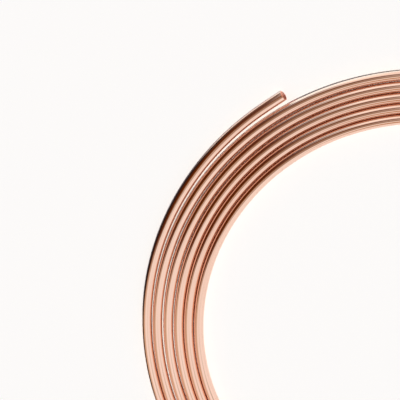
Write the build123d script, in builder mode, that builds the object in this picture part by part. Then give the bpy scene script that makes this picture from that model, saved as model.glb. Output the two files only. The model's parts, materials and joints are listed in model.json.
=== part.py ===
# Flat coil of soft copper tube: one length, wound as a spiral in a single layer.
#
# The coil lies on the floor plane z = 0 with its axis upright. Seen from above the tube runs
# anticlockwise and inwards from its outer end. A turn is two half circles about centres that lie
# side by side, so the tube has no kink anywhere. The turns stand a little apart on one side of
# the coil and close together on the other. The last stretch before the outer end has sprung away
# from the turn inside it, the inner end bends in a little, and both finish in a short straight.
#
# Millimetres. The origin is the middle of the coil's outline on the floor, and the outer end
# opens towards +X.

import os
from math import cos, degrees, floor, radians, sin

from build123d import *

# Tube
tube_diameter = 9.525
wall = 0.813
tube_length = 7620.0
end_chamfer = 0.2

# Winding, measured to the middle of the tube
outer_radius = 254.0
open_side_angle = 185.0
open_side_gaps = [0.6, 1.4, 0.9, 0.3, 0.4, 0.6]
tight_side_gap = 0.15

# Ends. The outer one is bent that much slacker than the winding, the inner one tighter.
straight_end = 20.0
spring_slack = 3.0
spring_angle = 80.0
inner_bend = 30.0
inner_bend_angle = 16.0

# The outer end stands at the top of the plan, so that it opens along +X.
OUTER_END_ANGLE = 90.0
HALF_TURN = 180.0

tube_radius = tube_diameter / 2
bore_radius = tube_radius - wall


def towards(angle):
    """Unit vector from the coil's middle towards that angle."""
    return Vector(cos(radians(angle)), sin(radians(angle)))


def crossing(number):
    """Where the tube meets the line through the open and the tight side, open side positive.

    Crossings count inwards from the one before the outer end, which lies on the tight side.
    """
    turn = number // 2
    if number % 2:
        gaps = [open_side_gaps[min(k, len(open_side_gaps) - 1)] for k in range(turn)]
        return outer_radius - turn * tube_diameter - sum(gaps)
    tight_pitch = tube_diameter + tight_side_gap
    return (turn - 0.5) * tight_pitch - outer_radius


def half_turn(number):
    """Centre, radius and start angle of the half circle that starts at that crossing."""
    start = crossing(number)
    end = crossing(number + 1)
    centre = towards(open_side_angle) * ((start + end) / 2)
    return centre, abs(end - start) / 2, open_side_angle + HALF_TURN * (number - 1)


def plan_arcs():
    """Arcs of the tube's middle line as (centre, radius, start angle, angle), outer end first."""
    reached = OUTER_END_ANGLE + spring_angle
    number = floor((reached - open_side_angle) / HALF_TURN) + 1
    centre, radius, start = half_turn(number)
    spring_radius = radius + spring_slack
    spring_centre = centre - towards(reached) * spring_slack
    arcs = [(spring_centre, spring_radius, OUTER_END_ANGLE, spring_angle)]
    left = tube_length - 2 * straight_end - spring_radius * radians(spring_angle)
    bend_length = 0
    while left > bend_length + 0.001:
        centre, radius, start = half_turn(number)
        bend_length = (radius - inner_bend) * radians(inner_bend_angle)
        angle = min(start + HALF_TURN - reached, degrees((left - bend_length) / radius))
        arcs.append((centre, radius, reached, angle))
        left -= radius * radians(angle)
        reached += angle
        number += 1
    bend_centre = centre + towards(reached) * inner_bend
    arcs.append((bend_centre, radius - inner_bend, reached, inner_bend_angle))
    return arcs


arcs = plan_arcs()
with BuildLine() as plan:
    first_centre, first_radius, first_start, _ = arcs[0]
    first_point = first_centre + towards(first_start) * first_radius
    Line(first_point - towards(first_start + 90) * straight_end, first_point)
    for centre, radius, start, angle in arcs:
        CenterArc(centre, radius, start % 360, angle)
    last_centre, last_radius, last_start, last_angle = arcs[-1]
    last_end = last_start + last_angle
    last_point = last_centre + towards(last_end) * last_radius
    Line(last_point, last_point + towards(last_end + 90) * straight_end)

middle = plan.line.bounding_box().center()
path = Pos(-middle.X, -middle.Y, tube_radius) * plan.line

with BuildPart() as copper_tube:
    with BuildSketch(Plane(origin=path @ 0, z_dir=path % 0)) as section:
        Circle(tube_radius)
        Circle(bore_radius, mode=Mode.SUBTRACT)
    sweep(path=path)
    ends = copper_tube.faces().filter_by(GeomType.PLANE)
    chamfer([end.outer_wire().edge() for end in ends], length=end_chamfer)

copper_tube.part.label = "copper_tube"

os.makedirs("parts", exist_ok=True)
export_step(copper_tube.part, "parts/copper_tube.step")
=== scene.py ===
"""Looks of a flat coil of soft copper tube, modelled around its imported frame."""

import json
from math import cos, degrees, floor, pi, radians, sin, tan
from typing import NamedTuple

import bmesh
import bpy
import numpy as np
from bpy.props import (
    FloatProperty,
    FloatVectorProperty,
    IntProperty,
    PointerProperty,
)
from mathutils import Matrix, Vector


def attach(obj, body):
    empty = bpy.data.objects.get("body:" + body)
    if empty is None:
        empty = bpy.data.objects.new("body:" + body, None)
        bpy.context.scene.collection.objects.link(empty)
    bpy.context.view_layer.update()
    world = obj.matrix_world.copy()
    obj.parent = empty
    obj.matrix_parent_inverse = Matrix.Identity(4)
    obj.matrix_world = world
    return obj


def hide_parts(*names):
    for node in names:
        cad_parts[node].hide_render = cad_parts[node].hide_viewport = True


bl_info = {
    "name": "Copper Tube Coil",
    "version": (1, 0, 0),
    "blender": (4, 5, 0),
    "location": "View3D > Sidebar > Coil",
    "description": "Models a flat coil of bright copper tube and the studio it lies in",
    "category": "Add Mesh",
}

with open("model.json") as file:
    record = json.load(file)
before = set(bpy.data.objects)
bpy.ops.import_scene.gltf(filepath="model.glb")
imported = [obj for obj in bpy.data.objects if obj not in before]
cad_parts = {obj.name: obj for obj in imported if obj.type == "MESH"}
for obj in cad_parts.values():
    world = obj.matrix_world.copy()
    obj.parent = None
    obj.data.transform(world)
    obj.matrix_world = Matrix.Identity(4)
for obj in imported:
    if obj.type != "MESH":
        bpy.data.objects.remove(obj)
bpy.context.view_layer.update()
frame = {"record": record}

NODE = "copper_tube"
BODY = "root"

mounts = {mount["name"]: mount for mount in frame["record"]["mounts"]}
outer_end = mounts["outer_end"]

# Where the outer end stands in the plan, in degrees, so that it opens along +X
OUTER_END_ANGLE = 90.0
HALF_TURN = 180.0

MM = 0.001
# Lengths below this count as nothing
HAIR = 0.00001
# Faces of a cut end lie no further than this from the end's middle or foot
CUT_REACH = 0.012
# Share of the tube's radius within which a point belongs to a stretch of the tube
SKIN_REACH = 1.1

# Edges of the cut ends that are sharper than this are rounded, in that many steps
SHARP_RIM = radians(60)
RIM_STEPS = 3
# Edges sharper than this aren't shaded smooth
CRISP_EDGE = radians(40)

# Attributes that materials read: the place on the tube, and how far a strip covers
TUBE_PLACE = "tube_place"
STRIP_COVER = "strip_cover"


class CoilSizes(bpy.types.PropertyGroup):
    """Sizes of the tube and of its winding"""

    tube_radius: FloatProperty(
        name="Tube radius",
        description="Outside radius of the tube",
        default=outer_end["dims"]["r_mm"] * MM,
        unit="LENGTH",
    )
    wall: FloatProperty(
        name="Wall",
        description="Thickness of the tube's wall",
        default=0.000813,
        unit="LENGTH",
    )
    tube_length: FloatProperty(
        name="Tube length",
        description="Length of the tube before it was wound",
        default=7.62,
        unit="LENGTH",
    )
    rim: FloatProperty(
        name="Rim",
        description="How far the cut ends are rounded over",
        default=0.0002,
        unit="LENGTH",
    )
    mouth_slant: FloatProperty(
        name="Mouth slant",
        description="How far the cut of the outer end leans back from square",
        default=radians(14.0),
        subtype="ANGLE",
    )
    outer_radius: FloatProperty(
        name="Outer radius",
        description="Radius of the first turn, to the middle of the tube",
        default=0.254,
        unit="LENGTH",
    )
    open_side_angle: FloatProperty(
        name="Open side",
        description="Where the turns stand apart, as seen from above",
        default=radians(185.0),
        subtype="ANGLE",
    )
    open_side_gaps: FloatVectorProperty(
        name="Open side gaps",
        description="Slits between the turns on the open side, from the outside in",
        size=6,
        default=(0.0006, 0.0014, 0.0009, 0.0003, 0.0004, 0.0006),
        unit="LENGTH",
    )
    tight_side_gap: FloatProperty(
        name="Tight side gap",
        description="Slit between two turns on the tight side",
        default=0.00015,
        unit="LENGTH",
    )
    straight_end: FloatProperty(
        name="Straight ends",
        description="Straight stretch at both ends of the tube",
        default=0.02,
        unit="LENGTH",
    )
    spring_slack: FloatProperty(
        name="Spring slack",
        description="How much slacker the outer end is bent than the winding",
        default=0.003,
        unit="LENGTH",
    )
    spring_angle: FloatProperty(
        name="Spring angle",
        description="How far round the coil the outer end has sprung away",
        default=radians(80.0),
        subtype="ANGLE",
    )
    inner_bend: FloatProperty(
        name="Inner bend",
        description="How much tighter the inner end is bent than the winding",
        default=0.03,
        unit="LENGTH",
    )
    inner_bend_angle: FloatProperty(
        name="Inner bend angle",
        description="How far round the coil the inner end is bent in",
        default=radians(16.0),
        subtype="ANGLE",
    )
    sides: IntProperty(
        name="Sides",
        description="Faces round the tube",
        default=36,
        min=12,
    )
    step_angle: FloatProperty(
        name="Step",
        description="Longest step of the mesh along the winding",
        default=radians(2.0),
        subtype="ANGLE",
    )


class CopperFinish(bpy.types.PropertyGroup):
    """Colours and finish of the copper"""

    copper: FloatVectorProperty(
        name="Copper",
        description="Bright drawn copper",
        subtype="COLOR",
        size=3,
        default=(0.925, 0.63, 0.505),
        min=0.0,
        max=1.0,
    )
    tarnish: FloatVectorProperty(
        name="Tarnish",
        description="Copper that has begun to darken, in faint patches along the tube",
        subtype="COLOR",
        size=3,
        default=(0.80, 0.46, 0.34),
        min=0.0,
        max=1.0,
    )
    tarnish_amount: FloatProperty(
        name="Tarnish amount",
        description="How far the darkest patches go towards the tarnish colour",
        default=0.35,
        min=0.0,
        max=1.0,
        subtype="FACTOR",
    )
    bore_copper: FloatVectorProperty(
        name="Bore copper",
        description="Dull copper inside the bore",
        subtype="COLOR",
        size=3,
        default=(0.90, 0.24, 0.11),
        min=0.0,
        max=1.0,
    )
    bore_stain: FloatVectorProperty(
        name="Bore stain",
        description="Streaks that the drawing plug and its oil leave in the bore",
        subtype="COLOR",
        size=3,
        default=(0.55, 0.10, 0.04),
        min=0.0,
        max=1.0,
    )
    stain_amount: FloatProperty(
        name="Stain amount",
        description="How far the darkest streaks go towards the stain colour",
        default=0.7,
        min=0.0,
        max=1.0,
        subtype="FACTOR",
    )
    cut_copper: FloatVectorProperty(
        name="Cut copper",
        description="Fresh copper where the tube is cut",
        subtype="COLOR",
        size=3,
        default=(0.86, 0.27, 0.15),
        min=0.0,
        max=1.0,
    )
    mark_amount: FloatProperty(
        name="Mark amount",
        description="How far the darkest cutter marks go towards the stain colour",
        default=0.5,
        min=0.0,
        max=1.0,
        subtype="FACTOR",
    )
    polish: FloatProperty(
        name="Polish",
        description="Roughness of the bright outside",
        default=0.08,
        min=0.0,
        max=1.0,
        subtype="FACTOR",
    )
    smudge: FloatProperty(
        name="Smudge",
        description="Roughness where the tube has been handled",
        default=0.17,
        min=0.0,
        max=1.0,
        subtype="FACTOR",
    )
    bore_roughness: FloatProperty(
        name="Bore roughness",
        description="Roughness of the dull bore",
        default=0.38,
        min=0.0,
        max=1.0,
        subtype="FACTOR",
    )
    cut_roughness: FloatProperty(
        name="Cut roughness",
        description="Roughness of the cut ends",
        default=0.3,
        min=0.0,
        max=1.0,
        subtype="FACTOR",
    )
    draw_line_width: FloatProperty(
        name="Draw line width",
        description="Width of the fine lines that the drawing die leaves along the tube",
        default=0.0005,
        unit="LENGTH",
    )
    draw_line_depth: FloatProperty(
        name="Draw line depth",
        description="Depth of those lines",
        default=0.0000012,
        unit="LENGTH",
    )
    bore_grain_depth: FloatProperty(
        name="Bore grain depth",
        description="Depth of the bore's fine grain",
        default=0.0000048,
        unit="LENGTH",
    )
    cut_mark_depth: FloatProperty(
        name="Cut mark depth",
        description="Depth of the marks that the cutter leaves",
        default=0.0000096,
        unit="LENGTH",
    )
    wave_length: FloatProperty(
        name="Wave length",
        description="Length of the faint waves that bending leaves in the tube",
        default=0.03,
        unit="LENGTH",
    )
    wave_depth: FloatProperty(
        name="Wave depth",
        description="Depth of those waves",
        default=0.00001,
        unit="LENGTH",
    )


class StudioSettings(bpy.types.PropertyGroup):
    """Camera, floor and light of the studio"""

    camera_place: FloatVectorProperty(
        name="Camera place",
        description="Where the camera stands",
        subtype="XYZ",
        size=3,
        default=(0.08871, 0.29994, 0.78565),
        unit="LENGTH",
    )
    camera_turn: FloatVectorProperty(
        name="Camera turn",
        description="How the camera is turned",
        subtype="EULER",
        size=3,
        default=(radians(-12.248), radians(7.504), radians(-34.228)),
        unit="ROTATION",
    )
    focal_length: FloatProperty(
        name="Focal length",
        description="Focal length of the lens, in millimetres",
        default=76.92,
    )
    floor_size: FloatProperty(
        name="Floor size",
        description="Width of the floor",
        default=12.0,
        unit="LENGTH",
    )
    floor_white: FloatVectorProperty(
        name="Floor white",
        description="White of the floor, which with its glow comes out neutral",
        subtype="COLOR",
        size=3,
        default=(0.94, 0.96, 0.96),
        min=0.0,
        max=1.0,
    )
    # Painted light: a copper-tinted glow on the floor that stands in for light thrown off the
    # copper into the floor's shadows and slits
    painted_floor_glow: FloatVectorProperty(
        name="Floor glow",
        description="Copper-tinted light that a shadow on the floor keeps",
        subtype="COLOR",
        size=3,
        default=(0.05, 0.012, 0.0),
        min=0.0,
        max=1.0,
    )
    daylight: FloatProperty(
        name="Daylight",
        description="Strength of the white studio all round, as the copper mirrors it",
        default=1.0,
        min=0.0,
    )
    soft_share: FloatProperty(
        name="Soft share",
        description="Share of the floor's light that comes from all round, not from the lamp",
        default=0.12,
        min=0.0,
        max=1.0,
        subtype="FACTOR",
    )
    lamp_colour: FloatVectorProperty(
        name="Lamp colour",
        description="Colour of the lamp's light, which the soft light evens out to white",
        subtype="COLOR",
        size=3,
        default=(1.0, 0.95, 0.86),
        min=0.0,
        max=1.0,
    )
    lamp_tilt: FloatProperty(
        name="Lamp tilt",
        description="How far the lamp's light is tilted from straight down",
        default=radians(11),
        subtype="ANGLE",
    )
    lamp_side: FloatProperty(
        name="Lamp side",
        description="Which side the lamp's light comes from, as seen from above",
        default=radians(-23),
        subtype="ANGLE",
    )
    lamp_spread: FloatProperty(
        name="Lamp spread",
        description="Angle that the lamp fills in the sky, which softens its shadows",
        default=radians(5),
        subtype="ANGLE",
    )


def towards(angle):
    """Unit vector from the coil's middle towards that angle in degrees, as seen from above."""
    return Vector((cos(radians(angle)), sin(radians(angle)), 0.0))


def crossing(sizes, number):
    """Where the tube meets the line through the open and the tight side, open side positive."""
    turn = number // 2
    tube_diameter = 2 * sizes.tube_radius
    if number % 2:
        last = len(sizes.open_side_gaps) - 1
        gaps = [sizes.open_side_gaps[min(k, last)] for k in range(turn)]
        return sizes.outer_radius - turn * tube_diameter - sum(gaps)
    tight_pitch = tube_diameter + sizes.tight_side_gap
    return (turn - 0.5) * tight_pitch - sizes.outer_radius


def half_turn(sizes, number):
    """Centre, radius and start angle of the half circle that starts at that crossing."""
    open_side = degrees(sizes.open_side_angle)
    start = crossing(sizes, number)
    end = crossing(sizes, number + 1)
    centre = towards(open_side) * ((start + end) / 2)
    return centre, abs(end - start) / 2, open_side + HALF_TURN * (number - 1)


def plan_arcs(sizes):
    """Arcs of the tube's middle line as (centre, radius, start angle, angle), outer end first."""
    spring_angle = degrees(sizes.spring_angle)
    inner_bend_angle = degrees(sizes.inner_bend_angle)
    reached = OUTER_END_ANGLE + spring_angle
    number = floor((reached - degrees(sizes.open_side_angle)) / HALF_TURN) + 1
    centre, radius, start = half_turn(sizes, number)
    spring_radius = radius + sizes.spring_slack
    spring_centre = centre - towards(reached) * sizes.spring_slack
    arcs = [(spring_centre, spring_radius, OUTER_END_ANGLE, spring_angle)]
    left = sizes.tube_length - 2 * sizes.straight_end - spring_radius * radians(spring_angle)
    bend_length = 0
    while left > bend_length + HAIR:
        centre, radius, start = half_turn(sizes, number)
        bend_length = (radius - sizes.inner_bend) * radians(inner_bend_angle)
        angle = min(start + HALF_TURN - reached, degrees((left - bend_length) / radius))
        arcs.append((centre, radius, reached, angle))
        left -= radius * radians(angle)
        reached += angle
        number += 1
    bend_centre = centre + towards(reached) * sizes.inner_bend
    arcs.append((bend_centre, radius - sizes.inner_bend, reached, inner_bend_angle))
    return arcs


def arcs_in_frame(sizes):
    """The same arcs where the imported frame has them, which its outer end says."""
    arcs = plan_arcs(sizes)
    centre, radius, start, _ = arcs[0]
    grip_length = outer_end["dims"]["length_mm"] * MM
    bend_start = Vector(outer_end["pos_m"]) - Vector(outer_end["axis"]) * (grip_length / 2)
    shift = bend_start - centre - towards(start) * radius
    return [(centre + shift, radius, start, angle) for centre, radius, start, angle in arcs]


def deselect_all():
    """Leaves nothing selected, in object mode."""
    bpy.ops.object.select_all(action="DESELECT")


def join(pieces):
    """Joins the pieces into the first one, whose place goes into its mesh."""
    deselect_all()
    for piece in pieces:
        piece.select_set(True)
    bpy.context.view_layer.objects.active = pieces[0]
    bpy.ops.object.join()
    bpy.ops.object.transform_apply(location=True, rotation=True, scale=True)
    return bpy.context.object


def section_at(sizes, place, heading, circle_radius):
    """A circle square to the tube at that place of its middle line, open for editing."""
    deselect_all()
    bpy.ops.mesh.primitive_circle_add(
        vertices=sizes.sides,
        radius=circle_radius,
        location=place,
        rotation=(0, radians(90), radians(heading)),
    )
    bpy.ops.object.mode_set(mode="EDIT")


def straight_skin(sizes, place, heading, circle_radius):
    """Skin of a straight end that starts at that place."""
    section_at(sizes, place, heading, circle_radius)
    move = towards(heading) * sizes.straight_end
    bpy.ops.mesh.extrude_region_move(TRANSFORM_OT_translate={"value": move})
    bpy.ops.object.mode_set(mode="OBJECT")
    return bpy.context.object


def bent_skin(sizes, arc, circle_radius):
    """Skin of the tube along one arc of its winding."""
    centre, radius, start, angle = arc
    section_at(sizes, centre + towards(start) * radius, start + 90, circle_radius)
    bpy.ops.mesh.spin(
        steps=max(1, round(radians(angle) / sizes.step_angle)),
        angle=radians(angle),
        center=centre,
        axis=(0, 0, -1),
    )
    bpy.ops.object.mode_set(mode="OBJECT")
    return bpy.context.object


def tube_ends(sizes, arcs):
    """Middles of the mouth and of the inner tip, where the inner bend ends, and its heading."""
    centre, radius, start, _ = arcs[0]
    mouth = centre + towards(start) * radius - towards(start + 90) * sizes.straight_end
    centre, radius, start, angle = arcs[-1]
    heading = start + angle + 90
    bend_end = centre + towards(start + angle) * radius
    return mouth, bend_end + towards(heading) * sizes.straight_end, bend_end, heading


def mouth_cut(sizes, arcs):
    """Lowest point of the outer end's cut, and the way that the cut faces."""
    mouth, _, _, _ = tube_ends(sizes, arcs)
    upwards = Vector((0, 0, sin(sizes.mouth_slant)))
    facing = towards(OUTER_END_ANGLE - 90) * cos(sizes.mouth_slant) + upwards
    return mouth - Vector((0, 0, sizes.tube_radius)), facing


def mouth_skin(sizes, arcs, circle_radius):
    """Skin of the straight outer end, cut off with the mouth's slant."""
    mouth, _, _, _ = tube_ends(sizes, arcs)
    foot, facing = mouth_cut(sizes, arcs)
    skin = straight_skin(sizes, mouth, OUTER_END_ANGLE + 90, circle_radius)
    bpy.ops.object.mode_set(mode="EDIT")
    bpy.ops.mesh.select_all(action="SELECT")
    bpy.ops.mesh.bisect(plane_co=foot - facing * HAIR, plane_no=facing, clear_outer=True)
    bpy.ops.object.mode_set(mode="OBJECT")
    return skin


def wound_skin(sizes, arcs, circle_radius, paint):
    """Skin of that radius along the whole tube, in one piece."""
    _, _, last_bend, last_heading = tube_ends(sizes, arcs)
    parts = [mouth_skin(sizes, arcs, circle_radius)]
    parts += [bent_skin(sizes, arc, circle_radius) for arc in arcs]
    parts.append(straight_skin(sizes, last_bend, last_heading, circle_radius))
    skin = join(parts)
    skin.data.materials.append(paint)
    bpy.ops.object.mode_set(mode="EDIT")
    bpy.ops.mesh.select_all(action="SELECT")
    bpy.ops.mesh.remove_doubles(threshold=HAIR)
    bpy.ops.object.mode_set(mode="OBJECT")
    return skin


def close_end(piece, place, reach):
    """In edit mode, bridges the open loops of the outside and the bore round that place."""
    bpy.ops.mesh.select_mode(type="EDGE")
    bpy.ops.mesh.select_all(action="DESELECT")
    shape = bmesh.from_edit_mesh(piece.data)
    for edge in shape.edges:
        middle = (edge.verts[0].co + edge.verts[1].co) / 2
        edge.select = edge.is_boundary and (middle - place).length < reach
    bmesh.update_edit_mesh(piece.data)
    bpy.ops.mesh.bridge_edge_loops()


def round_rims(rim):
    """In edit mode, rounds the sharp edges of both cut ends."""
    bpy.ops.mesh.select_mode(type="EDGE")
    bpy.ops.mesh.select_all(action="DESELECT")
    bpy.ops.mesh.edges_select_sharp(sharpness=SHARP_RIM)
    bpy.ops.mesh.bevel(offset=rim, segments=RIM_STEPS, affect="EDGES")


def paint_cut_end(piece, place, facing, depth, paint):
    """In edit mode, paints the faces of the end that is cut there, down to that depth."""
    piece.data.materials.append(paint)
    piece.active_material_index = len(piece.data.materials) - 1
    bpy.ops.mesh.select_mode(type="FACE")
    bpy.ops.mesh.select_all(action="DESELECT")
    shape = bmesh.from_edit_mesh(piece.data)
    for face in shape.faces:
        offset = face.calc_center_median() - place
        face.select = offset.length < CUT_REACH and offset.dot(facing) > -depth
    bmesh.update_edit_mesh(piece.data)
    bpy.ops.object.material_slot_assign()


def stretches(sizes, arcs):
    """The tube's stretches in order, as (where it starts along the tube, its shape)."""
    mouth, _, bend_end, last_heading = tube_ends(sizes, arcs)
    found = [(0.0, ("straight", mouth, OUTER_END_ANGLE + 90, sizes.straight_end))]
    reached = sizes.straight_end
    for arc in arcs:
        found.append((reached, ("arc", *arc)))
        reached += arc[1] * radians(arc[3])
    found.append((reached, ("straight", bend_end, last_heading, sizes.straight_end)))
    return found


def angle_past(start, x, y):
    """Degrees from that start angle to the direction of x and y, from -1 up to 359."""
    return (np.degrees(np.arctan2(y, x)) - start + 1) % 360 - 1


def note_tube_place(piece, sizes, arcs):
    """Stores on each point where it is on the tube: outwards, up and along, in metres."""
    count = len(piece.data.vertices)
    points = np.zeros(count * 3)
    piece.data.vertices.foreach_get("co", points)
    points = points.reshape(count, 3)
    noted = np.zeros((count, 3))
    noted[:, 1] = points[:, 2] - sizes.tube_radius
    reach = SKIN_REACH * sizes.tube_radius
    for start_along, shape in stretches(sizes, arcs):
        if shape[0] == "straight":
            _, start, heading, length = shape
            offset = points - np.array(start)
            along = offset @ np.array(towards(heading))
            outwards = offset @ np.array(towards(heading - 90))
        else:
            _, centre, radius, start, angle = shape
            offset = points - np.array(centre)
            turned = angle_past(start, offset[:, 0], offset[:, 1])
            length = radius * radians(angle)
            along = radius * np.radians(turned)
            outwards = np.hypot(offset[:, 0], offset[:, 1]) - radius
        near = (abs(outwards) < reach) & (along > -MM) & (along < length + MM)
        noted[near, 0] = outwards[near]
        noted[near, 2] = start_along + along[near]
    layer = piece.data.attributes.new(TUBE_PLACE, "FLOAT_VECTOR", "POINT")
    layer.data.foreach_set("vector", noted.ravel())


class COIL_OT_copper_tube(bpy.types.Operator):
    """Winds the tube, with its bore, and gives it its bright finish"""

    bl_idname = "coil.copper_tube"
    bl_label = "Copper Tube"

    def execute(self, context):
        sizes = context.scene.coil_sizes
        finish = context.scene.copper_finish
        arcs = arcs_in_frame(sizes)
        bore_radius = sizes.tube_radius - sizes.wall
        outside = wound_skin(sizes, arcs, sizes.tube_radius, bright_copper(finish))
        bore = wound_skin(sizes, arcs, bore_radius, bore_copper(finish))
        tube = join([outside, bore])
        tube.name = "bright_copper_tube"
        tube.data.name = tube.name
        mouth, inner_tip, _, inner_heading = tube_ends(sizes, arcs)
        bpy.ops.object.mode_set(mode="EDIT")
        for place in (mouth, inner_tip):
            close_end(tube, place, 2 * sizes.tube_radius)
        bpy.ops.mesh.select_all(action="SELECT")
        bpy.ops.mesh.normals_make_consistent(inside=False)
        round_rims(sizes.rim)
        cut_paint = cut_copper(finish)
        mouth_foot, mouth_facing = mouth_cut(sizes, arcs)
        paint_cut_end(tube, mouth_foot, mouth_facing, sizes.rim, cut_paint)
        paint_cut_end(tube, inner_tip, towards(inner_heading), sizes.rim, cut_paint)
        bpy.ops.object.mode_set(mode="OBJECT")
        note_tube_place(tube, sizes, arcs)
        bpy.ops.object.shade_smooth_by_angle(angle=CRISP_EDGE)
        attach(tube, BODY)
        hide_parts(NODE)
        return {"FINISHED"}


def new_material(name):
    """An empty node material and its node tree."""
    material = bpy.data.materials.new(name)
    material.use_nodes = True
    material.node_tree.nodes.clear()
    return material, material.node_tree


def add_node(tree, kind, place, **settings):
    """A node of that kind, at that place in the tree, with those settings."""
    node = tree.nodes.new(kind)
    node.location = place
    for name, value in settings.items():
        setattr(node, name, value)
    return node


def tube_noise(tree, place, width, length, detail):
    """Noise in streaks of that width round the tube and that length along it."""
    x, y = place
    source = add_node(tree, "ShaderNodeAttribute", (x, y), attribute_name=TUBE_PLACE)
    stretch = add_node(tree, "ShaderNodeMapping", (x + 200, y))
    stretch.inputs["Scale"].default_value = (1 / width, 1 / width, 1 / length)
    noise = add_node(tree, "ShaderNodeTexNoise", (x + 400, y))
    noise.inputs["Scale"].default_value = 1.0
    noise.inputs["Detail"].default_value = detail
    tree.links.new(source.outputs["Vector"], stretch.inputs["Vector"])
    tree.links.new(stretch.outputs["Vector"], noise.inputs["Vector"])
    return noise.outputs["Fac"]


def spread(tree, place, value, low, high, to_low, to_high):
    """The value eased from low to high onto the range from to_low to to_high."""
    ease = add_node(tree, "ShaderNodeMapRange", place, interpolation_type="SMOOTHSTEP")
    ease.inputs["From Min"].default_value = low
    ease.inputs["From Max"].default_value = high
    ease.inputs["To Min"].default_value = to_low
    ease.inputs["To Max"].default_value = to_high
    tree.links.new(value, ease.inputs["Value"])
    return ease.outputs["Result"]


def two_colours(tree, place, share, first, second):
    """Colour socket that goes from the first colour to the second by that share."""
    mix = add_node(tree, "ShaderNodeMix", place, data_type="RGBA")
    # The node has its sockets A, B and Result once for each kind of data: these are the colours
    mix.inputs[6].default_value = (*first, 1)
    mix.inputs[7].default_value = (*second, 1)
    tree.links.new(share, mix.inputs["Factor"])
    return mix.outputs[2]


def relief(tree, place, height, depth, under=None):
    """Bump of that depth, laid over another one where there is one."""
    bump = add_node(tree, "ShaderNodeBump", place)
    bump.inputs["Strength"].default_value = 1.0
    bump.inputs["Distance"].default_value = depth
    tree.links.new(height, bump.inputs["Height"])
    if under:
        tree.links.new(under, bump.inputs["Normal"])
    return bump.outputs["Normal"]


def metal(tree, colour, roughness, normal):
    """Bare metal with that colour, roughness and relief, on the material's output."""
    shader = add_node(tree, "ShaderNodeBsdfPrincipled", (600, 0))
    output = add_node(tree, "ShaderNodeOutputMaterial", (900, 0))
    shader.inputs["Metallic"].default_value = 1.0
    tree.links.new(colour, shader.inputs["Base Color"])
    tree.links.new(roughness, shader.inputs["Roughness"])
    tree.links.new(normal, shader.inputs["Normal"])
    tree.links.new(shader.outputs["BSDF"], output.inputs["Surface"])


def bright_copper(finish):
    """Bright drawn copper, with faint patches, smudges, draw lines and bending waves."""
    material, tree = new_material("bright_drawn_copper")
    patches = tube_noise(tree, (-900, 400), width=0.006, length=0.12, detail=3.0)
    patch_share = spread(
        tree, (-200, 400), patches, low=0.42, high=0.75, to_low=0.0, to_high=finish.tarnish_amount
    )
    colour = two_colours(tree, (0, 400), patch_share, finish.copper, finish.tarnish)
    handled = tube_noise(tree, (-900, 0), width=0.004, length=0.03, detail=4.0)
    roughness = spread(
        tree, (-200, 0), handled, low=0.5, high=0.8, to_low=finish.polish, to_high=finish.smudge
    )
    waves = tube_noise(tree, (-900, -400), width=0.009, length=finish.wave_length, detail=1.0)
    lines = tube_noise(tree, (-900, -700), width=finish.draw_line_width, length=0.25, detail=2.0)
    normal = relief(tree, (0, -400), waves, finish.wave_depth)
    normal = relief(tree, (200, -400), lines, finish.draw_line_depth, normal)
    metal(tree, colour, roughness, normal)
    return material


def bore_copper(finish):
    """Dull copper of the bore, streaked by the plug that it was drawn over."""
    material, tree = new_material("dull_bore_copper")
    streaks = tube_noise(tree, (-900, 400), width=0.0012, length=0.02, detail=4.0)
    stain_share = spread(
        tree, (-200, 400), streaks, low=0.4, high=0.75, to_low=0.0, to_high=finish.stain_amount
    )
    colour = two_colours(tree, (0, 400), stain_share, finish.bore_copper, finish.bore_stain)
    grain = tube_noise(tree, (-900, 0), width=0.0008, length=0.004, detail=4.0)
    smooth, rough = 0.8 * finish.bore_roughness, 1.3 * finish.bore_roughness
    roughness = spread(tree, (-200, 0), grain, low=0.3, high=0.7, to_low=smooth, to_high=rough)
    normal = relief(tree, (0, -400), grain, finish.bore_grain_depth)
    metal(tree, colour, roughness, normal)
    return material


def cut_copper(finish):
    """Fresh copper of the cut ends, with the marks that the cutter leaves."""
    material, tree = new_material("cut_copper")
    marks = tube_noise(tree, (-900, 400), width=0.0003, length=0.0003, detail=3.0)
    mark_share = spread(
        tree, (-200, 400), marks, low=0.4, high=0.7, to_low=0.0, to_high=finish.mark_amount
    )
    colour = two_colours(tree, (0, 400), mark_share, finish.cut_copper, finish.bore_stain)
    smooth, rough = 0.7 * finish.cut_roughness, 1.4 * finish.cut_roughness
    roughness = spread(tree, (-200, 0), marks, low=0.3, high=0.7, to_low=smooth, to_high=rough)
    normal = relief(tree, (0, -400), marks, finish.cut_mark_depth)
    metal(tree, colour, roughness, normal)
    return material


def background_rays(tree, place):
    """Socket that is 1 for what the camera sees, also in metal or through glass, and else 0."""
    path = add_node(tree, "ShaderNodeLightPath", place)
    x, y = place
    either = add_node(tree, "ShaderNodeMath", (x + 200, y), operation="MAXIMUM")
    any_ray = add_node(tree, "ShaderNodeMath", (x + 400, y), operation="MAXIMUM")
    tree.links.new(path.outputs["Is Camera Ray"], either.inputs[0])
    tree.links.new(path.outputs["Is Glossy Ray"], either.inputs[1])
    tree.links.new(either.outputs[0], any_ray.inputs[0])
    tree.links.new(path.outputs["Is Transmission Ray"], any_ray.inputs[1])
    return any_ray.outputs[0]


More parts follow.
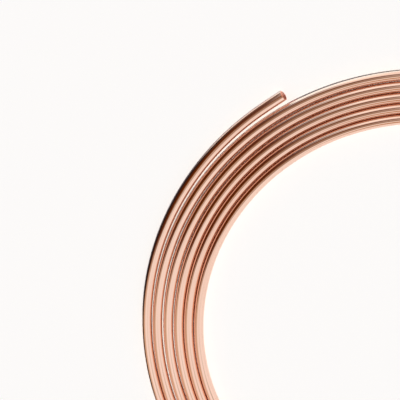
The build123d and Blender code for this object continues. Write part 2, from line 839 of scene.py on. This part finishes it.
def floor_paint(studio):
    """White floor that keeps the coil's soft shadow, with a painted copper-tinted glow that
    stands in for the copper's bounce light in that shadow.
    """
    material, tree = new_material("white_studio_floor")
    paint = add_node(tree, "ShaderNodeBsdfDiffuse", (0, 100))
    paint.inputs["Color"].default_value = (*studio.floor_white, 1)
    # Painted warm glow, which lifts the floor's shadow as the copper's bounce light would
    glow = add_node(tree, "ShaderNodeEmission", (0, -100))
    glow.inputs["Color"].default_value = (*studio.painted_floor_glow, 1)
    seen = background_rays(tree, (-800, -100))
    tree.links.new(seen, glow.inputs["Strength"])
    both = add_node(tree, "ShaderNodeAddShader", (200, 0))
    output = add_node(tree, "ShaderNodeOutputMaterial", (400, 0))
    tree.links.new(paint.outputs[0], both.inputs[0])
    tree.links.new(glow.outputs[0], both.inputs[1])
    tree.links.new(both.outputs[0], output.inputs["Surface"])
    return material


def add_floor(studio):
    """The floor that the coil lies on."""
    deselect_all()
    bpy.ops.mesh.primitive_plane_add(size=studio.floor_size)
    ground = bpy.context.object
    ground.name = "studio_floor"
    ground.data.materials.append(floor_paint(studio))


def add_world(studio):
    """White studio all round, of which the floor gets its soft share."""
    world = bpy.data.worlds.new("white_studio")
    world.use_nodes = True
    tree = world.node_tree
    background = tree.nodes["Background"]
    background.inputs["Strength"].default_value = studio.daylight
    soft = [1 - (1 - studio.soft_share) * channel for channel in studio.lamp_colour]
    seen = background_rays(tree, (-800, 0))
    colour = two_colours(tree, (-200, 0), seen, soft, (1, 1, 1))
    tree.links.new(colour, background.inputs["Color"])
    bpy.context.scene.world = world


def add_lamp(studio):
    """Lamp high above, which gives the floor the rest of its light."""
    deselect_all()
    bpy.ops.object.light_add(type="SUN", rotation=(0, studio.lamp_tilt, studio.lamp_side))
    lamp = bpy.context.object
    lamp.name = "soft_lamp"
    lamp.data.energy = pi * studio.daylight * (1 - studio.soft_share)
    lamp.data.color = studio.lamp_colour
    lamp.data.angle = studio.lamp_spread
    lamp.visible_glossy = False


def covered_glow(tree, cover, shade):
    """Glow of that shade where the cover is 1, clear where it is 0, on the material's output."""
    clear = add_node(tree, "ShaderNodeBsdfTransparent", (-200, 100))
    glow = add_node(tree, "ShaderNodeEmission", (-200, -100))
    glow.inputs["Color"].default_value = (*shade, 1)
    mix = add_node(tree, "ShaderNodeMixShader", (0, 0))
    output = add_node(tree, "ShaderNodeOutputMaterial", (200, 0))
    tree.links.new(cover, mix.inputs[0])
    tree.links.new(clear.outputs[0], mix.inputs[1])
    tree.links.new(glow.outputs[0], mix.inputs[2])
    tree.links.new(mix.outputs[0], output.inputs["Surface"])


def card_paint(name, shade, softness):
    """Paint of an oval card of that brightness, which fades out over that share of its radius."""
    material, tree = new_material(name)
    coordinates = add_node(tree, "ShaderNodeTexCoord", (-800, 0))
    distance = add_node(tree, "ShaderNodeVectorMath", (-600, 0), operation="LENGTH")
    tree.links.new(coordinates.outputs["Object"], distance.inputs[0])
    cover = spread(
        tree,
        (-400, 0),
        distance.outputs["Value"],
        low=1.0 - softness,
        high=1.0,
        to_low=1.0,
        to_high=0.0,
    )
    covered_glow(tree, cover, shade)
    return material


def strip_paint(name, shade):
    """Paint of a strip of that brightness, which its points say how far to cover."""
    material, tree = new_material(name)
    noted = add_node(tree, "ShaderNodeAttribute", (-600, 0), attribute_name=STRIP_COVER)
    share = noted.outputs["Fac"]
    cover = spread(tree, (-400, 0), share, low=0.0, high=1.0, to_low=0.0, to_high=1.0)
    covered_glow(tree, cover, shade)
    return material


def hide_card(card):
    """Leaves a card to be seen in the copper only."""
    card.visible_camera = False
    card.visible_diffuse = False
    card.visible_shadow = False


class Card(NamedTuple):
    """Oval card that faces the coil from far off and shows only in the copper.

    All angles are in degrees. Half its width and height are angles, as the coil sees them.
    """

    name: str
    azimuth: float
    elevation: float
    roll: float
    half_width: float
    half_height: float
    distance: float
    shade: tuple
    softness: float


# Point on the coil that the cards face, and the sides of their outline
CARDS_FACE = (-0.12, 0.2, 0.0)
CARD_SIDES = 64

CARDS = (
    Card(
        "brown_card",
        azimuth=136,
        elevation=18,
        roll=-34,
        half_width=65,
        half_height=43,
        distance=3.0,
        shade=(0.09, 0.015, 0.0),
        softness=0.64,
    ),
    Card(
        "dark_card",
        azimuth=118,
        elevation=64,
        roll=-29,
        half_width=52,
        half_height=24,
        distance=2.9,
        shade=(0.15, 0.05, 0.005),
        softness=0.65,
    ),
    Card(
        "top_card",
        azimuth=230,
        elevation=89,
        roll=-16,
        half_width=41,
        half_height=19,
        distance=2.8,
        shade=(0.38, 0.28, 0.21),
        softness=0.58,
    ),
    Card(
        "pale_card",
        azimuth=180,
        elevation=25,
        roll=-62,
        half_width=40,
        half_height=24,
        distance=2.7,
        shade=(0.68, 0.52, 0.38),
        softness=0.65,
    ),
    Card(
        "cream_card",
        azimuth=60,
        elevation=26,
        roll=9,
        half_width=10,
        half_height=19,
        distance=2.6,
        shade=(1.2, 1.15, 1.08),
        softness=0.5,
    ),
    Card(
        "inner_card",
        azimuth=248,
        elevation=43,
        roll=13,
        half_width=15,
        half_height=23,
        distance=2.5,
        shade=(0.5, 0.26, 0.1),
        softness=0.64,
    ),
    Card(
        "white_card",
        azimuth=75,
        elevation=9,
        roll=0,
        half_width=26,
        half_height=12,
        distance=2.4,
        shade=(1.2, 1.5, 1.6),
        softness=0.4,
    ),
    Card(
        "crown_card",
        azimuth=150,
        elevation=75,
        roll=0,
        half_width=10,
        half_height=9,
        distance=2.3,
        shade=(0.75, 0.62, 0.52),
        softness=0.8,
    ),
)


def add_card(card):
    """Puts up that card."""
    deselect_all()
    bpy.ops.mesh.primitive_circle_add(vertices=CARD_SIDES, radius=1, fill_type="NGON")
    oval = bpy.context.object
    oval.name = card.name
    level = cos(radians(card.elevation))
    facing = towards(card.azimuth) * level + Vector((0, 0, sin(radians(card.elevation))))
    side = towards(card.azimuth + 90)
    upwards = facing.cross(side)
    roll = radians(card.roll)
    across = side * cos(roll) + upwards * sin(roll)
    along = upwards * cos(roll) - side * sin(roll)
    oval.rotation_euler = Matrix((across, along, facing)).transposed().to_euler()
    half_width = card.distance * tan(radians(card.half_width))
    half_height = card.distance * tan(radians(card.half_height))
    oval.scale = (half_width, half_height, 1)
    oval.location = Vector(CARDS_FACE) + facing * card.distance
    oval.data.materials.append(card_paint(card.name, card.shade, card.softness))
    hide_card(oval)


class Strip(NamedTuple):
    """Narrow strip round an outer turn, which shows only in that turn's edge.

    It goes round that arc of the plan from its start angle through its turn, in degrees, and
    fades out over the last degrees at both ends. Near and far are its two edges, each as how
    far out from the tube and how high above the floor it is.
    """

    name: str
    arc: int
    start: int
    turn: int
    fade: float
    near: tuple
    far: tuple
    shade: tuple


# Arcs of the plan that strips go round: the slack outer end, and the outer turn's last quarter
SLACK_END = 0
LAST_QUARTER = 3

STRIPS = (
    Strip(
        "edge_flag",
        arc=SLACK_END,
        start=92,
        turn=80,
        fade=12,
        near=(0.012, 0.0),
        far=(0.012, 0.012),
        shade=(0.03, 0.02, 0.018),
    ),
    Strip(
        "edge_shade",
        arc=SLACK_END,
        start=99,
        turn=50,
        fade=12,
        near=(0.0005, 0.0005),
        far=(0.012, 0.0005),
        shade=(0.05, 0.03, 0.025),
    ),
    Strip(
        "mouth_flag",
        arc=SLACK_END,
        start=84,
        turn=24,
        fade=3,
        near=(0.018, 0.0),
        far=(0.018, 0.016),
        shade=(0.17, 0.1, 0.07),
    ),
    Strip(
        "outline",
        arc=LAST_QUARTER,
        start=12,
        turn=75,
        fade=6,
        near=(0.0005, 0.0005),
        far=(0.008, 0.0005),
        shade=(0.1, 0.14, 0.16),
    ),
    Strip(
        "outline_glow",
        arc=LAST_QUARTER,
        start=12,
        turn=77,
        fade=6,
        near=(0.009, 0.0005),
        far=(0.07, 0.0005),
        shade=(1.2, 1.5, 1.6),
    ),
)


def add_strip(sizes, arcs, strip):
    """Puts up that strip."""
    centre, radius, _, _ = arcs[strip.arc]
    edge_radius = radius + sizes.tube_radius
    deselect_all()
    bpy.ops.mesh.primitive_plane_add()
    band = bpy.context.object
    band.name = strip.name
    bpy.ops.object.mode_set(mode="EDIT")
    bpy.ops.mesh.select_mode(type="EDGE")
    shape = bmesh.from_edit_mesh(band.data)
    for corner in list(shape.verts)[2:]:
        shape.verts.remove(corner)
    for corner, (out, up) in zip(shape.verts, (strip.near, strip.far)):
        corner.co = centre + towards(strip.start) * (edge_radius + out)
        corner.co.z = up
    for edge in shape.edges:
        edge.select = True
    bmesh.update_edit_mesh(band.data)
    angle = radians(strip.turn)
    bpy.ops.mesh.spin(steps=strip.turn, angle=angle, center=centre, axis=(0, 0, -1))
    bpy.ops.object.mode_set(mode="OBJECT")
    cover = band.data.attributes.new(STRIP_COVER, "FLOAT", "POINT")
    for corner, noted in zip(band.data.vertices, cover.data):
        offset = corner.co - centre
        turned = angle_past(strip.start, offset.x, offset.y)
        noted.value = min(turned, strip.turn - turned) / strip.fade
    band.data.materials.append(strip_paint(strip.name, strip.shade))
    hide_card(band)


class COIL_OT_studio(bpy.types.Operator):
    """Puts up the camera, the white floor, the cards and the studio light"""

    bl_idname = "coil.studio"
    bl_label = "Studio"

    def execute(self, context):
        studio = context.scene.studio_settings
        add_floor(studio)
        add_world(studio)
        add_lamp(studio)
        for card in CARDS:
            add_card(card)
        sizes = context.scene.coil_sizes
        arcs = arcs_in_frame(sizes)
        for strip in STRIPS:
            add_strip(sizes, arcs, strip)
        lens = bpy.data.cameras.new("studio_camera")
        lens.lens = studio.focal_length
        camera = bpy.data.objects.new("studio_camera", lens)
        camera.location = studio.camera_place
        camera.rotation_euler = studio.camera_turn
        context.scene.collection.objects.link(camera)
        context.scene.camera = camera
        context.scene.view_settings.view_transform = "Standard"
        return {"FINISHED"}


class COIL_PT_panel(bpy.types.Panel):
    """Lists the coil's sizes and the steps that make it"""

    bl_idname = "COIL_PT_panel"
    bl_label = "Copper Tube Coil"
    bl_space_type = "VIEW_3D"
    bl_region_type = "UI"
    bl_category = "Coil"

    def draw(self, context):
        scene = context.scene
        for group, operator in PANEL_ROWS:
            box = self.layout.box()
            settings = getattr(scene, group)
            for name in settings.__annotations__:
                box.prop(settings, name)
            if operator:
                box.operator(operator)


PANEL_ROWS = (
    ("coil_sizes", None),
    ("copper_finish", "coil.copper_tube"),
    ("studio_settings", "coil.studio"),
)

CLASSES = (
    CoilSizes,
    CopperFinish,
    StudioSettings,
    COIL_OT_copper_tube,
    COIL_OT_studio,
    COIL_PT_panel,
)


def register():
    """Registers the classes and puts their settings on the scene."""
    for kind in CLASSES:
        bpy.utils.register_class(kind)
    bpy.types.Scene.coil_sizes = PointerProperty(type=CoilSizes)
    bpy.types.Scene.copper_finish = PointerProperty(type=CopperFinish)
    bpy.types.Scene.studio_settings = PointerProperty(type=StudioSettings)


def unregister():
    """Takes the settings and the classes away again."""
    del bpy.types.Scene.studio_settings
    del bpy.types.Scene.copper_finish
    del bpy.types.Scene.coil_sizes
    for kind in reversed(CLASSES):
        bpy.utils.unregister_class(kind)


def main():
    """Makes the coil and the studio."""
    register()
    bpy.ops.coil.copper_tube()
    bpy.ops.coil.studio()


if __name__ == "__main__":
    main()
